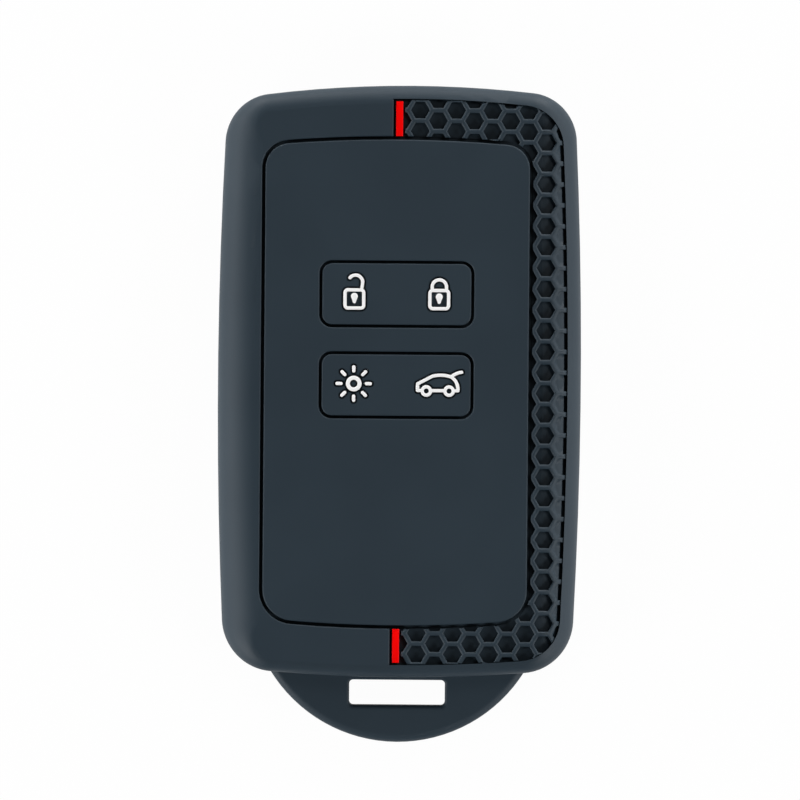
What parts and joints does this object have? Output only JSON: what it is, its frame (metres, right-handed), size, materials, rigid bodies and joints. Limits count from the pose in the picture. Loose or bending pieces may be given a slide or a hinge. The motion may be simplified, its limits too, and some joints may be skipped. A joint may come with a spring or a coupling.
{
  "type": "key fob cover",
  "caption": "Soft moulded cover for a card-shaped car key: bowed sleeve with an open back, grooved face panel, pressing pads with symbols, honeycomb band, red accents, keyring tab.",
  "frame": {"origin": "on the back face, in the middle of the whole outline with its keyring tab", "axes": "+X to the right of the face, +Y along the face away from the keyring tab, +Z out of the face"},
  "size_m": [0.062, 0.112, 0.014],
  "materials": {
    "silicone": "matte moulded silicone",
    "white_inlay": "satin white silicone ink",
    "red_inlay": "satin red silicone ink"
  },
  "bodies": {
    "cover": {"sleeve": "silicone", "face_panel": "silicone", "upper_pad_web": "silicone", "lower_pad_web": "silicone", "honeycomb_lattice": "silicone", "upper_red_strip": "red_inlay", "lower_red_strip": "red_inlay"},
    "upper_pad": {"upper_button_pad": "silicone", "unlock_icon": "white_inlay", "lock_icon": "white_inlay"},
    "lower_pad": {"lower_button_pad": "silicone", "light_icon": "white_inlay", "tailgate_icon": "white_inlay"}
  },
  "joints": [
    {"name": "upper_pad_press", "type": "slide", "parent": "cover", "child": "upper_pad", "axis": [0, 0, -1], "range_m": [0, 0.0006], "stiffness_N_per_m": 800, "deforming": ["upper_pad_web"]},
    {"name": "lower_pad_press", "type": "slide", "parent": "cover", "child": "lower_pad", "axis": [0, 0, -1], "range_m": [0, 0.0006], "stiffness_N_per_m": 800, "deforming": ["lower_pad_web"]}
  ]
}
